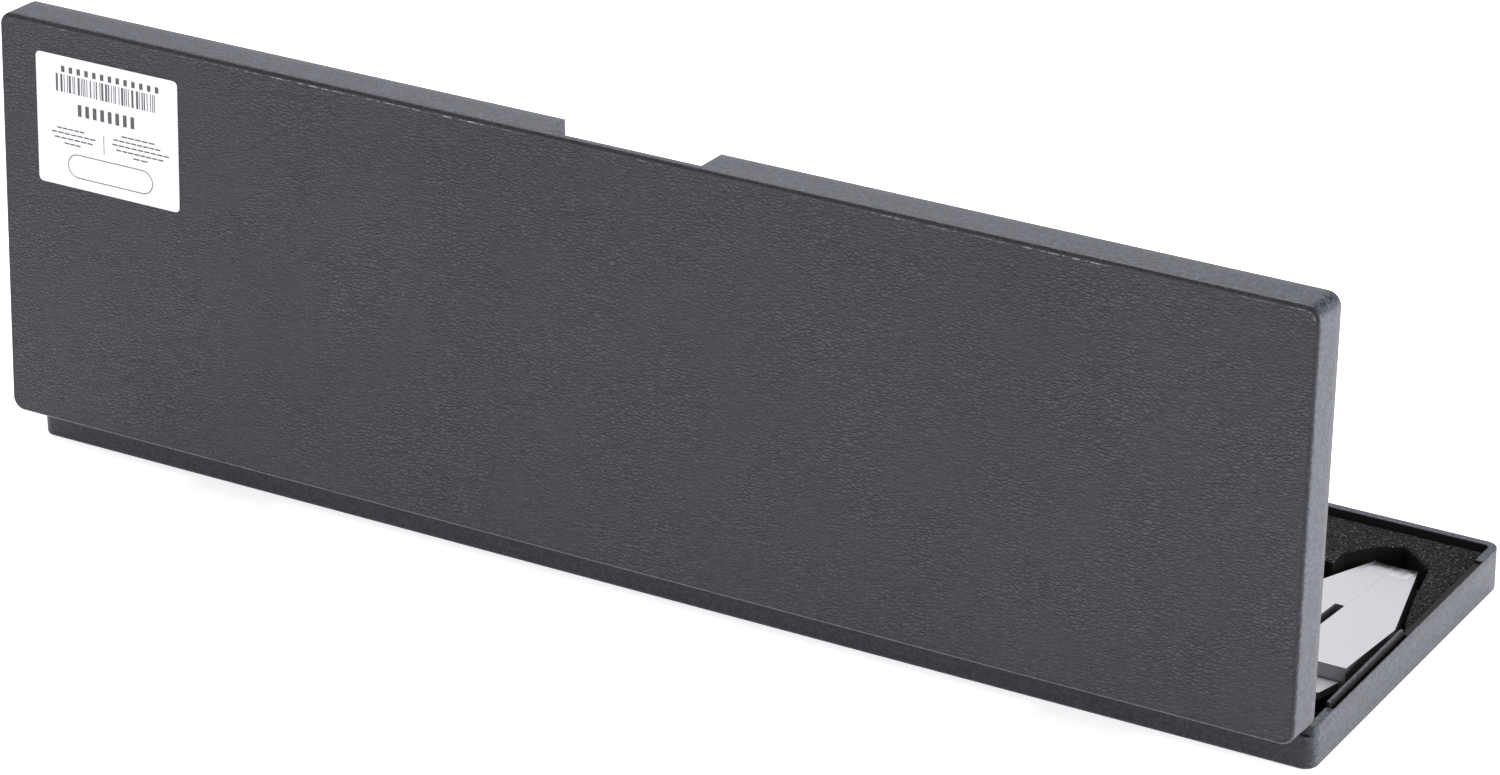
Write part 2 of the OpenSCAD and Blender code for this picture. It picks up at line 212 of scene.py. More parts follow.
def leather_plastic():
    """Moulded plastic with fine leather grain: low wrinkles along the case, broad faint mottling, and painted
    shade in the grain's grooves.
    """
    s = Shader("case_leather_grain")
    warp = s.math("MULTIPLY", s.noise(320.0, 2.0), 0.0016)
    shift = s.node("CombineXYZ", X=0.0, Y=warp, Z=warp).outputs[0]
    place = s.node("VectorMath", {"operation": "ADD"})
    s.set(place, {0: s.coord, 1: shift})
    stretched = s.node("Mapping", Vector=place.outputs[0], Scale=(0.42, 1.0, 1.0)).outputs[0]
    wrinkles = s.span(s.voronoi(1150.0, stretched, "DISTANCE_TO_EDGE"), 0.0, 0.22)
    pebble = s.noise(1500.0, 2.0, 0.6, stretched)
    patches = s.span(s.noise(45.0, 4.0, 0.6), 0.36, 0.64)
    height = s.math("ADD", s.math("MULTIPLY", wrinkles, s.span(patches, 0.0, 1.0, 0.35, 1.0)),
                    s.math("MULTIPLY", pebble, 0.8))
    mottle = s.span(s.noise(11.0, 5.0, 0.6), 0.35, 0.65, 0.86, 1.14)
    # The colour follows the grain's height: painted shade in its grooves. The mottling is the plastic's own
    # uneven tone.
    tone = s.math("MULTIPLY", s.span(height, 0.30, 1.35), mottle)
    color = s.mix(tone, rgb(0.0125, 0.0130, 0.0165), rgb(0.041, 0.042, 0.054))
    rough = s.span(s.noise(14.0, 3.0, 0.5), 0.3, 0.7, 0.50, 0.58)
    return s.finish(Base_Color=color, Roughness=rough, Normal=s.bump(height, 0.00030, 1.0))


def worn_edge():
    """Rubbed edge of the grained panel: light scuffs in broken lengths, whose pale colour is also a painted
    highlight on the panel's edge.
    """
    s = Shader("case_worn_edge_and_highlight")
    broken = s.noise(420.0, 4.0, 0.75)
    lengths = s.noise(26.0, 2.0, 0.5)
    scuff_and_highlight = s.math("MULTIPLY", s.span(broken, 0.46, 0.62), s.span(lengths, 0.42, 0.60))
    # Pale scuffs: real wear, and also a painted highlight along the panel's front edge.
    color = s.mix(scuff_and_highlight, rgb(0.014, 0.014, 0.018), rgb(0.30, 0.30, 0.30))
    return s.finish(Base_Color=color, Roughness=0.42)


def satin_plastic(name="case_satin_wall", tint=1.0):
    """The same plastic, finely spark-eroded, on walls and rims. Faces turned towards the hinge side, unless
    they also face down, get painted shade and less gloss.
    """
    s = Shader(name)
    grain = s.noise(1050.0, 2.0, 0.8)
    blotch = s.noise(60.0, 3.0)
    spark = s.span(grain, 0.42, 0.60)
    low = rgb(0.010 * tint, 0.011 * tint, 0.016 * tint)
    high = rgb(0.078 * tint, 0.083 * tint, 0.108 * tint)
    # Painted shade: the colour darkens on faces turned towards -y, the hinge side.
    normal = s.node("SeparateXYZ", Vector=s.node("TexCoord").outputs["Normal"]).outputs
    facing = s.math("MULTIPLY", normal[1], s.math("ADD", s.math("MULTIPLY", normal[2], 1.2), 1.0))
    painted_light_level = s.span(facing, -0.9, -0.3, 0.3, 1.0)
    color = s.mix(s.math("ADD", s.math("MULTIPLY", spark, 0.85), s.math("MULTIPLY", blotch, 0.15)), low, high)
    color = s.mix(painted_light_level, rgb(0.008 * tint, 0.008 * tint, 0.011 * tint), color)
    gloss = s.span(painted_light_level, 0.3, 1.0, 0.32, 0.5)
    return s.finish(Base_Color=color, Specular_IOR_Level=gloss, Roughness=s.span(grain, 0.3, 0.7, 0.36, 0.50),
                    Normal=s.bump(grain, 0.00012, 0.9))


def inner_plastic():
    s = Shader("case_inner")
    grain = s.noise(1400.0, 3.0, 0.6)
    color = s.mix(grain, rgb(0.011, 0.011, 0.011), rgb(0.021, 0.020, 0.019))
    return s.finish(Base_Color=color, Specular_IOR_Level=0.15, Roughness=0.6,
                    Normal=s.bump(grain, 0.00003, 0.5))


def foam_material():
    """Open-cell foam: a speckled skin of pores on top, and smoother, darker walls where it is cut."""
    s = Shader("foam_open_cell", Roughness=0.95)
    cells = s.voronoi(1300.0)
    fine = s.noise(1500.0, 3.0, 0.8)
    glints = s.span(s.noise(1100.0, 1.0, 0.8), 0.60, 0.68)
    tone = s.mix(s.span(fine, 0.40, 0.60), rgb(0.003, 0.003, 0.003), rgb(0.034, 0.0335, 0.0325))
    tone = s.mix(s.math("MULTIPLY", glints, 0.8), tone, rgb(0.13, 0.13, 0.13))
    up = s.node("SeparateXYZ", Vector=s.node("NewGeometry").outputs["Normal"]).outputs[2]
    facing = s.span(s.math("ABSOLUTE", up), 0.3, 0.8)
    cut = s.mix(fine, rgb(0.007, 0.0062, 0.0055), rgb(0.014, 0.012, 0.0105))
    height = s.math("ADD", s.math("MULTIPLY", cells, 0.8), s.math("MULTIPLY", fine, 0.8))
    return s.finish(Base_Color=s.mix(facing, cut, tone), Specular_IOR_Level=0.1,
                    Normal=s.bump(height, 0.0004, 0.8))


def ground_steel(name, along, value, rough, relief=0.2):
    """Fine-ground matt steel; along is the noise's scale per axis, lowest along the grinding lines."""
    s = Shader(name, Metallic=1.0)
    lines = s.noise(1.0, 4.0, 0.65, s.scaled(*along))
    cloud = s.noise(90.0, 3.0)
    dark, pale = value * 0.97, value * 1.03
    color = s.mix(lines, rgb(dark, dark, value * 1.01), rgb(pale, pale, value * 1.07))
    roughness = s.math("ADD", s.span(lines, 0.3, 0.7, rough - 0.02, rough + 0.03),
                       s.span(cloud, 0.3, 0.7, -0.02, 0.04))
    return s.finish(Base_Color=color, Roughness=roughness, Normal=s.bump(lines, 0.000003, relief))


def turned_steel(name="turned_steel", value=0.52):
    s = Shader(name, Metallic=1.0)
    grain = s.noise(3000.0, 3.0)
    return s.finish(Base_Color=s.mix(grain, rgb(value * 0.9, value * 0.91, value * 0.94),
                                     rgb(value * 1.1, value * 1.11, value * 1.13)),
                    Roughness=s.span(grain, 0.3, 0.7, 0.22, 0.34))


def bronze():
    s = Shader("gib_bronze", Metallic=1.0)
    grain = s.noise(900.0, 3.0)
    return s.finish(Base_Color=s.mix(grain, rgb(0.50, 0.33, 0.15), rgb(0.66, 0.46, 0.24)), Roughness=0.38)


def sticker():
    s = Shader("label_white")
    fibre = s.noise(1800.0, 3.0)
    return s.finish(Base_Color=s.mix(fibre, rgb(0.80, 0.805, 0.82), rgb(0.86, 0.865, 0.88)), Roughness=0.35,
                    Normal=s.bump(fibre, 0.00001, 0.3))


def ink(name="print_ink", value=0.05):
    s = Shader(name)
    speckle = s.noise(5000.0, 2.0)
    color = s.mix(speckle, rgb(value, value, value * 1.05), rgb(value * 1.8, value * 1.8, value * 1.9))
    return s.finish(Base_Color=color, Roughness=0.5)


def floor_material():
    """White table that glows a little, which keeps the shadows pale."""
    s = Shader("floor_pale", Roughness=0.8)
    cloud = s.noise(3.0, 2.0)
    white = s.mix(cloud, rgb(0.92, 0.92, 0.925), rgb(0.95, 0.95, 0.955))
    return s.finish(Base_Color=white, Emission_Color=white, Emission_Strength=FLOOR_GLOW)


LEATHER = leather_plastic()
WORN_AND_HIGHLIGHT = worn_edge()
SATIN = satin_plastic()
INNER = inner_plastic()
CLIP_PLASTIC = satin_plastic("clip_satin", 0.8)
FOAM = foam_material()
LINES_ALONG_X = (120.0, 1800.0, 1800.0)
STEEL = ground_steel("ground_steel", LINES_ALONG_X, 0.62, 0.24)
MILLED = ground_steel("milled_steel", (300.0, 900.0, 900.0), 0.56, 0.50)
FINE_GROUND = ground_steel("fine_ground_steel", LINES_ALONG_X, 0.64, 0.16, 0.0)
# Darker steel for faces that look along the beam: painted shade in the slot and on the jaws' sides.
DULL_SHADED_STEEL = ground_steel("dull_steel_painted_shade", (900.0, 900.0, 300.0), 0.26, 0.55)
CHROME = ground_steel("satin_chrome", (100.0, 2000.0, 2000.0), 0.64, 0.40)
KNURL = turned_steel("knurled_steel", 0.60)
SCREW = turned_steel()
BRONZE = bronze()
WHITE = sticker()
INK = ink()
SCALE_INK = ink("scale_ink", 0.02)


# ---------- mesh helpers ----------

def make(name, bm, materials, body, replaces=(), smooth=35.0):
    """Turns a bmesh into a piece of the model."""
    mesh = bpy.data.meshes.new(name)
    bmesh.ops.recalc_face_normals(bm, faces=bm.faces)
    bm.to_mesh(mesh)
    bm.free()
    for mat in materials:
        mesh.materials.append(mat)
    obj = bpy.data.objects.new(name, mesh)
    bpy.context.scene.collection.objects.link(obj)
    shade(mesh, smooth)
    if replaces:
        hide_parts(*replaces)
    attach(obj, body)
    return obj


def shade(mesh, angle):
    mesh.polygons.foreach_set("use_smooth", [True] * len(mesh.polygons))
    mesh.set_sharp_from_angle(angle=math.radians(angle))


def grid_faces(bm, rows, material=0):
    """Quads between successive rows of vertices. Material is an index, or takes a row and a place in it."""
    count = len(rows)
    for i in range(count):
        a, b = rows[i], rows[(i + 1) % count]
        for k in range(len(a) - 1):
            face = bm.faces.new((a[k], a[k + 1], b[k + 1], b[k]))
            face.material_index = material(i, k) if callable(material) else material


def block(bm, lo, hi, place, material=0):
    """Box between two corners, carried into the frame by place."""
    corners = []
    for n in range(8):
        corners.append(bm.verts.new(place(*[(lo, hi)[(n >> axis) & 1][axis] for axis in range(3)])))
    for quad in ((0, 1, 3, 2), (4, 6, 7, 5), (0, 4, 5, 1), (2, 3, 7, 6), (0, 2, 6, 4), (1, 5, 7, 3)):
        face = bm.faces.new([corners[i] for i in quad])
        face.material_index = material


def close_ends(bm, rows, bore, material=0):
    """Closes turned rows, with a bore's wall or with a flat face at both ends."""
    if bore:
        for a, b in zip(rows, rows[1:] + rows[:1]):
            bm.faces.new((a[-1], a[0], b[0], b[-1])).material_index = material
    else:
        for k in (0, -1):
            bm.faces.new([row[k] for row in rows]).material_index = material


def lathe(bm, profile, place, segments, bore=False, material=0):
    """Turns (radius, length) points about an axis; place takes (length, across, up)."""
    rows = []
    for i in range(segments):
        a = 2 * math.pi * i / segments
        rows.append([bm.verts.new(place(z, r * math.cos(a), r * math.sin(a))) for r, z in profile])
    grid_faces(bm, rows, material)
    close_ends(bm, rows, bore, material)


KNURL_D = 0.28
KNURL_CHAMFER = 0.6
STEPS_PER_TOOTH = 4


def knurled(bm, r, z0, z1, place, teeth, bore=0.0, dish=0.0):
    """Cylinder with a straight knurl between two chamfers."""
    steps = teeth * STEPS_PER_TOOTH
    root = r - KNURL_D
    rows = []
    for i in range(steps):
        a = 2 * math.pi * i / steps
        tip = r - KNURL_D * (0.5 - 0.5 * math.cos(2 * math.pi * i / STEPS_PER_TOOTH))
        ring = [(root - KNURL_CHAMFER, z0), (root - 0.15, z0 + 0.12), (tip, z0 + KNURL_CHAMFER),
                (tip, z1 - KNURL_CHAMFER), (root - 0.15, z1 - 0.12), (root - KNURL_CHAMFER, z1)]
        if dish:
            ring += [(r * 0.62, z1), (r * 0.55, z1 - dish)]
        if bore:
            ring = [(bore, z0)] + ring + [(bore, z1)]
        rows.append([bm.verts.new(place(z, q * math.cos(a), q * math.sin(a))) for q, z in ring])
    grid_faces(bm, rows)
    close_ends(bm, rows, bore)


# ---------- case shells ----------

TIGHT_R = 0.3       # least radius of an inner corner
MARK_GAP = 0.12     # half the length over which a feature of the wall starts or ends
SPACING = 30.0      # longest stretch of wall between two stations
CORNER_STEPS = 12
GRAIN, WALLS, INSIDE, WORN_EDGE_AND_HIGHLIGHT = range(4)


class Station:
    """A point of the case's outline, which knows where an inward offset of it lies."""

    def __init__(self, side, along, point, normal, centre=None, signs=None):
        self.side, self.along = side, along
        self.point, self.normal = point, normal
        self.centre, self.signs = centre, signs

    def at(self, d):
        """The point that lies d inside the outline. Corners stay round down to TIGHT_R, and then move in."""
        if self.centre is None:
            return self.point[0] - self.normal[0] * d, self.point[1] - self.normal[1] * d
        r = max(CORNER_R - d, TIGHT_R)
        past = max(d - (CORNER_R - TIGHT_R), 0.0)
        return tuple(self.centre[i] + self.normal[i] * r - self.signs[i] * past for i in range(2))


def outline(end_marks, front_marks, back_marks):
    """Stations round the case: right end, front, left end, back. Marks are where a feature starts or ends."""
    half = CASE_L / 2
    lo, hi = CORNER_R, CASE_W - CORNER_R

    def split(a, b, marks):
        """Places from a to b, with a close pair at each mark."""
        inner = sorted({m + e for m in marks for e in (-MARK_GAP, MARK_GAP)} | {a, b}, reverse=a > b)
        out = []
        for p, q in zip(inner, inner[1:]):
            n = max(1, round(abs(q - p) / SPACING))
            out += [p + (q - p) * k / n for k in range(n)]
        return out + [b]

    def corner(sx, cy, sy, start):
        centre = (sx * (half - CORNER_R), cy)
        return [Station("corner", 0, None, (math.cos(a), math.sin(a)), centre, (sx, sy))
                for a in (start + math.pi / 2 * k / CORNER_STEPS for k in range(1, CORNER_STEPS))]

    side = half - CORNER_R
    out = [Station("end", y, (half, y), (1, 0)) for y in split(lo, hi, end_marks)]
    out += corner(1, hi, 1, 0)
    out += [Station("front", x, (x, CASE_W), (0, 1)) for x in split(side, -side, front_marks)]
    out += corner(-1, hi, 1, math.pi / 2)
    out += [Station("end", y, (-half, y), (-1, 0)) for y in split(hi, lo, end_marks)]
    out += corner(-1, lo, -1, math.pi)
    out += [Station("back", x, (x, 0), (0, -1)) for x in split(-side, side, back_marks)]
    out += corner(1, lo, -1, 1.5 * math.pi)
    return out


def within(value, lo, hi):
    return lo <= value <= hi


def near_hinge(x, offset, length):
    """True where x lies within a knuckle's length, offset to both sides of a hinge's middle."""
    return any(abs(abs(x) - HINGE_X - side * offset) < length / 2 for side in (-1, 1))


FACE_STEPS = 6
PANEL_POINTS = 2
RIM_OUT = PANEL_POINTS + FACE_STEPS + 1 + 6     # place in a section where the rim's top begins
INNER_WALL = RIM_OUT + 6                        # place in a section where the inner wall begins


def edge_round(r):
    """Rounded edge from the outer face to the wall: (offset, height) pairs."""
    turns = [math.pi / 2 * k / FACE_STEPS for k in range(FACE_STEPS + 1)]
    return [(r - r * math.sin(a), r - r * math.cos(a)) for a in turns]


def back_set(st, knuckle_offset, knuckle_l):
    """Set-back of the wall's upper part along the hinge, deeper where the other half's knuckle turns."""
    if st.side == "back":
        return POCKET if near_hinge(st.along, knuckle_offset, knuckle_l + 2 * KNUCKLE_GAP) else HINGE_SET
    if st.centre and st.signs[1] < 0:
        return max(HINGE_SET - st.at(0)[1], 0.0)
    return 0.0


def base_profile(st):
    """Section of the base's wall at a station, from the underside over the rim to the inner floor."""
    tongue = st.side == "end" and within(st.along, *TONGUE_Y)
    rebate = st.side == "end" and within(st.along, *REBATE_Y)
    clip = st.side == "front" and abs(st.along) < SCOOP_HALF + 0.1
    boss = st.side == "front" and abs(st.along) < SCOOP_HALF + 2
    top = HALF_H
    low_set = CLIP_RECESS if clip else 0.0
    high_set = max(low_set, back_set(st, 0, LID_KNUCKLE_L))
    rim_out = high_set + RIM_ROUND
    inner = WALL + CLIP_BOSS if boss else WALL
    if tongue:
        step, step_z, crest, crest_z = GROOVE_S, top - TONGUE_H, TONGUE_S, top + TONGUE_H
    elif rebate:
        step, step_z, crest, crest_z = REBATE_S, top - REBATE_H, TONGUE_S, top - REBATE_H
    else:
        step, step_z, crest, crest_z = rim_out + 0.05, top, max(TONGUE_S, rim_out + 0.1), top
    edge = 0.18
    lift = edge if tongue else 0.0
    rim_in = max(inner - edge, min(rim_out, inner))
    places = (min(rim_out, step), step, crest, crest + edge)
    rim_out, step, crest, crest_in = (min(d, rim_in) for d in places)
    return edge_round(BASE_FILLET) + [
        (0.0, CLIP_RECESS_Z), (low_set, CLIP_RECESS_Z), (low_set, top - HINGE_DROP),
        (high_set, top - HINGE_DROP), (high_set, top - RIM_ROUND),
        (high_set + RIM_ROUND * 0.3, top - RIM_ROUND * 0.3), (rim_out, top), (step, step_z), (crest, step_z),
        (crest, crest_z - lift), (crest_in, crest_z), (rim_in, crest_z), (inner, crest_z - edge),
        (inner, SKIN + 0.8), (inner + 0.25, SKIN + 0.25), (inner + 0.8, SKIN)]


def lid_profile(st):
    """Section of the lid's wall at a station. Heights run from the plate's outer face towards the rim."""
    groove = st.side == "end" and within(st.along, TONGUE_Y[0] - 0.5, TONGUE_Y[1] + 0.5)
    tongue = st.side == "end" and within(st.along, REBATE_Y[0] + 0.7, REBATE_Y[1] - 1.0)
    scoop = st.side == "front" and abs(st.along) < SCOOP_HALF
    cheek = st.side == "front" and abs(st.along) < SCOOP_HALF + SCOOP_WALL
    top = HALF_H - SHUT_GAP
    low_set = SCOOP_D if scoop else 0.0
    high_set = max(low_set, back_set(st, BASE_KNUCKLE_X, BASE_KNUCKLE_L))
    inner = SCOOP_D + SCOOP_WALL if cheek else WALL
    mid_z = top - TONGUE_H - 0.3 if groove else top + REBATE_H - 0.2 if tongue else top
    edge = 0.15
    rim_out = high_set + RIM_ROUND
    rim_in = max(inner - edge, min(rim_out, inner))
    mid_out = min(max(TONGUE_S if tongue else TONGUE_S - 0.3, rim_out + 0.1), rim_in)
    rim_out = min(rim_out, rim_in)
    scoop_round = 0.5 if scoop else 0.0
    scoop_z = SKIN + 1.0
    return edge_round(FACE_FILLET) + [
        (0.0, scoop_z), (low_set - scoop_round, scoop_z), (low_set, scoop_z + scoop_round),
        (low_set, HALF_H - HINGE_DROP), (high_set, HALF_H - HINGE_DROP), (high_set, top - RIM_ROUND),
        (high_set + RIM_ROUND * 0.3, top - RIM_ROUND * 0.3), (rim_out, top), (mid_out, top),
        (mid_out, mid_z), (rim_in, mid_z), (inner, mid_z - edge), (inner, SKIN + 0.8),
        (inner + 0.25, SKIN + 0.25), (inner + 0.8, SKIN)]


def tray(stations, profile, place, panel_inset, material_of):
    """Closed shell lofted through the wall's sections, with a grained panel on its outer face."""
    bm = bmesh.new()
    rows = []
    for st in stations:
        points = [(panel_inset + 0.3, 0.0), (panel_inset, 0.0)] + profile(st)
        rows.append([bm.verts.new(place(*st.at(d), z)) for d, z in points])
    grid_faces(bm, rows, lambda i, k: material_of(stations[i], k))
    bm.faces.new([row[0] for row in rows]).material_index = GRAIN
    bm.faces.new([row[-1] for row in rows]).material_index = INSIDE
    bmesh.ops.remove_doubles(bm, verts=bm.verts, dist=1e-7)
    bmesh.ops.dissolve_degenerate(bm, edges=bm.edges, dist=1e-7)
    return bm


def base_material(st, k):
    """Grain below, satin walls and rims, and a dark inside that reaches over the grooves and rebates as
    painted shade.
    """
    # Over the grooves and rebates the dark inside plastic is painted shade; the tongue's top keeps the satin.
    recessed = st.side == "end" and within(st.along, TONGUE_Y[0] - 0.2, REBATE_Y[1])
    crest = st.side == "end" and within(st.along, *TONGUE_Y) and k in (RIM_OUT + 3, RIM_OUT + 4)
    if k < 1:
        return GRAIN
    if k >= INNER_WALL or (recessed and k >= RIM_OUT and not crest):
        return INSIDE
    return WALLS


def lid_material(st, k):
    """Worn front edge of the grained panel, whose scuffs also carry a painted highlight, satin walls, and a
    dark inside.
    """
    worn_and_highlit = st.side == "front" or (st.centre and st.signs[1] > 0)
    if k < 1:
        return WORN_EDGE_AND_HIGHLIGHT if worn_and_highlit else GRAIN
    return INSIDE if k >= INNER_WALL - 1 else WALLS


def hinge_knuckles(bm, offsets, length, place, web_sign):
    """Tubes round the pin, with the web that joins them to the wall."""
    for x in (-HINGE_X, HINGE_X):
        for offset in offsets:
            mid = x + offset
            lo, hi = mid - length / 2, mid + length / 2
            ring = [(PIN_BORE, lo), (KNUCKLE_R - 0.2, lo), (KNUCKLE_R, lo + 0.2), (KNUCKLE_R, hi - 0.2),
                    (KNUCKLE_R - 0.2, hi), (PIN_BORE, hi)]
            lathe(bm, ring, place, 36, bore=True, material=WALLS)
            block(bm, (lo, PIN_BORE + 0.1, min(0, web_sign * HINGE_DROP)),
                  (hi, HINGE_SET + 0.3, max(0, web_sign * HINGE_DROP)), place, WALLS)


def base_shell():
    """The base's tray, with two knuckles at each hinge."""
    marks = [TONGUE_Y[0], TONGUE_Y[1], REBATE_Y[0], REBATE_Y[1]]
    knuckles = [s * HINGE_X + e * (LID_KNUCKLE_L / 2 + KNUCKLE_GAP) for s in (-1, 1) for e in (-1, 1)]
    clip = [s * w for s in (-1, 1) for w in (SCOOP_HALF + 0.1, SCOOP_HALF + 2)]
    stations = outline(marks, clip, knuckles)
    bm = tray(stations, base_profile, in_case, 1.5, base_material)
    hinge_knuckles(bm, (-BASE_KNUCKLE_X, BASE_KNUCKLE_X), BASE_KNUCKLE_L,
                   lambda x, y, z: in_case(x, y, HALF_H + z), -1)
    make("case_base_shell", bm, (LEATHER, SATIN, INNER), "base", ["case_base"])


def lid_shell():
    """The lid's tray, with one knuckle at each hinge and the clip's ledge in its scoop."""
    marks = [TONGUE_Y[0] - 0.5, TONGUE_Y[1] + 0.5, REBATE_Y[0] + 0.7, REBATE_Y[1] - 1.0]
    knuckles = [s * HINGE_X + o * BASE_KNUCKLE_X + e * (BASE_KNUCKLE_L / 2 + KNUCKLE_GAP)
                for s in (-1, 1) for o in (-1, 1) for e in (-1, 1)]
    scoop = [s * w for s in (-1, 1) for w in (SCOOP_HALF, SCOOP_HALF + SCOOP_WALL)]
    stations = outline(marks, scoop, knuckles)
    bm = tray(stations, lid_profile, lambda x, y, z: on_lid(x, y, HALF_H - z), FACE_FILLET + 0.2,
              lid_material)
    hinge_knuckles(bm, (0,), LID_KNUCKLE_L, on_lid, 1)
    scoop_back = CASE_W - SCOOP_D
    block(bm, (-LEDGE_HALF, scoop_back - 0.2, LEDGE_Z[0]), (LEDGE_HALF, scoop_back + LEDGE_D, LEDGE_Z[1]),
          on_lid, WALLS)
    make("case_lid_shell", bm, (LEATHER, SATIN, INNER, WORN_AND_HIGHLIGHT), "lid", ["case_lid"])


# ---------- foam ----------

FAR_SIDE = 0.3      # how near a point lies to the piece's far side to count as on it


def foam_piece(node, name, body, voxel=0.7, rough=0.05, grow=(0, 0, 0)):
    """Foam cut from a sheet, with softened edges and an uneven, open surface.

    Grow moves the faces on the piece's far side outwards, per axis.
    """
    source = frame["nodes"][node]
    obj = bpy.data.objects.new(name, source.data.copy())
    corner = [max(v.co[i] for v in obj.data.vertices) for i in range(3)]
    for v in obj.data.vertices:
        for i in range(3):
            if grow[i] and v.co[i] > corner[i] - FAR_SIDE * MM:
                v.co[i] += grow[i] * MM
    bpy.context.scene.collection.objects.link(obj)
    remesh = obj.modifiers.new("cells", "REMESH")
    remesh.mode = "VOXEL"
    remesh.voxel_size = voxel * MM
    bpy.context.view_layer.update()
    done = obj.evaluated_get(bpy.context.evaluated_depsgraph_get())
    mesh = bpy.data.meshes.new_from_object(done)
    obj.modifiers.clear()
    obj.data = mesh
    moved = []
    for v in mesh.vertices:
        p = v.co / MM
        bumpy = noise.noise(p * 0.55) + 0.6 * noise.noise(p * 1.7)
        moved.extend(v.co - v.normal * (0.5 * rough + rough * bumpy) * MM)
    mesh.vertices.foreach_set("co", moved)
    mesh.update()
    mesh.materials.clear()
    mesh.materials.append(FOAM)
    shade(mesh, 45)
    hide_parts(node)
    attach(obj, body)
    return obj


# ---------- caliper ----------

GROUND_T = 1.0      # depth below the head's face down to which a face is ground
GROUND, MILL, END, HOLLOW = range(4)


def dressed(node, body, material, bevel=0.1, milled=False):
    """A machined piece: the CAD solid with its edges broken, and faces that shade flat.

    With milled set, only faces on the head's top are ground, the hollow in them is fine ground, and faces
    that look along the beam take a duller, darker steel, which is painted shade.
    """
    bm = bmesh.new()
    bm.from_mesh(frame["nodes"][node].data)
    bmesh.ops.remove_doubles(bm, verts=bm.verts, dist=1e-6)
    bmesh.ops.dissolve_limit(bm, angle_limit=math.radians(0.5), verts=bm.verts, edges=bm.edges)
    if milled:
        origin = on_seat(0, 0, 0)
        down = (on_seat(0, 0, 1) - origin).normalized()
        bm.normal_update()
        for face in bm.faces:
            depth = (face.calc_center_median() - origin).dot(down) / MM
            if face.normal.dot(down) < -0.9 and depth < GROUND_T:
                face.material_index = HOLLOW if depth > 0.01 else GROUND
            else:
                # Faces that look along the beam get the darker steel as painted shade.
                face.material_index = END if abs(face.normal.x) > 0.3 else MILL
    sharp = [e for e in bm.edges if len(e.link_faces) == 2 and e.calc_face_angle(0) > math.radians(28)]
    bmesh.ops.bevel(bm, geom=sharp, offset=bevel * MM, segments=2, profile=0.6, affect="EDGES",
                    clamp_overlap=True)
    finishes = (material, MILLED, DULL_SHADED_STEEL, FINE_GROUND) if milled else (material,)
    obj = make(node + "_piece", bm, finishes, body, [node], 40.0)
    flat = obj.modifiers.new("flat_faces", "WEIGHTED_NORMAL")
    flat.keep_sharp = True


def plain(node, material):
    """Gives a small piece that is seen as its CAD solid its material."""
    slots = frame["nodes"][node].data.materials
    slots.clear()
    slots.append(material)


def graduation(bm, u, half_width, h0, h1, t):
    """Engraved line at u, from h0 to h1, a hair above the face at t."""
    block(bm, (u - half_width, h0, t - 0.006), (u + half_width, h1, t + 0.02), on_seat)


def numerals(bm, text, u, h, t, size):
    """Small scale figures, read with the jaws pointing at the reader, added to bm as flat shapes."""
    curve = bpy.data.curves.new("numeral", "FONT")
    curve.body = text
    curve.size = size
    curve.align_x = "CENTER"
    curve.extrude = 0.006
    obj = bpy.data.objects.new("numeral", curve)
    bpy.context.scene.collection.objects.link(obj)
    bpy.context.view_layer.update()
    mesh = bpy.data.meshes.new_from_object(obj.evaluated_get(bpy.context.evaluated_depsgraph_get()))
    for v in mesh.vertices:
        v.co = on_seat(u + v.co.x, h - v.co.y, t - v.co.z)
    bm.from_mesh(mesh)
    bpy.data.objects.remove(obj)
    bpy.data.curves.remove(curve)
    bpy.data.meshes.remove(mesh)


SCALE_ZERO = 47.0
SCALE_MAX = 340
BEAM_FACE_T = 1.3
VERNIER_EDGE = 12.6
VERNIER_FACE_T = -0.8
VERNIER_STEP = 0.95


def beam_scale():
    """Millimetre graduations and centimetre figures on the beam."""
    bm = bmesh.new()
    foot = VERNIER_EDGE - 0.1
    for mm in range(SCALE_MAX + 1):
        length = 3.6 if mm % 10 == 0 else 2.8 if mm % 5 == 0 else 2.0
        graduation(bm, SCALE_ZERO + mm, 0.06, foot - length, foot, BEAM_FACE_T)
    for cm in range(SCALE_MAX // 10 + 1):
        numerals(bm, str(cm), SCALE_ZERO + 10 * cm, VERNIER_EDGE - 4.4, BEAM_FACE_T, 3.0)
    make("beam_scale", bm, (SCALE_INK,), "beam")


def vernier_scale():
    """Twenty divisions on the vernier plate, numbered 0 to 10."""
    bm = bmesh.new()
    for i in range(21):
        length = 3.2 if i % 2 == 0 else 2.2
        graduation(bm, SCALE_ZERO + i * VERNIER_STEP, 0.05, VERNIER_EDGE + 0.15, VERNIER_EDGE + length,
                   VERNIER_FACE_T)
    for i in range(0, 11, 2):
        numerals(bm, str(i), SCALE_ZERO + 2 * i * VERNIER_STEP, VERNIER_EDGE + 5.4, VERNIER_FACE_T, 1.9)
    make("vernier_scale", bm, (SCALE_INK,), "slider")


def thumb_screw(node, u):
    """Lock screw: shank, collar and knurled head, standing on the top rail."""
    bm = bmesh.new()

    def place(z, a, b):
        return on_seat(u + a, -z, SLIDE_MID + b)

    lathe(bm, [(1.8, -0.1), (2.0, 0.1), (2.0, 4.3), (2.9, 4.35), (3.0, 4.5), (3.0, 6.0)], place, 40)
    knurled(bm, KNOB_R, 6.0, 12.5, place, teeth=36, dish=0.5)
    make(node + "_piece", bm, (KNURL,), node.replace("_screw", ""), [node], 25.0)


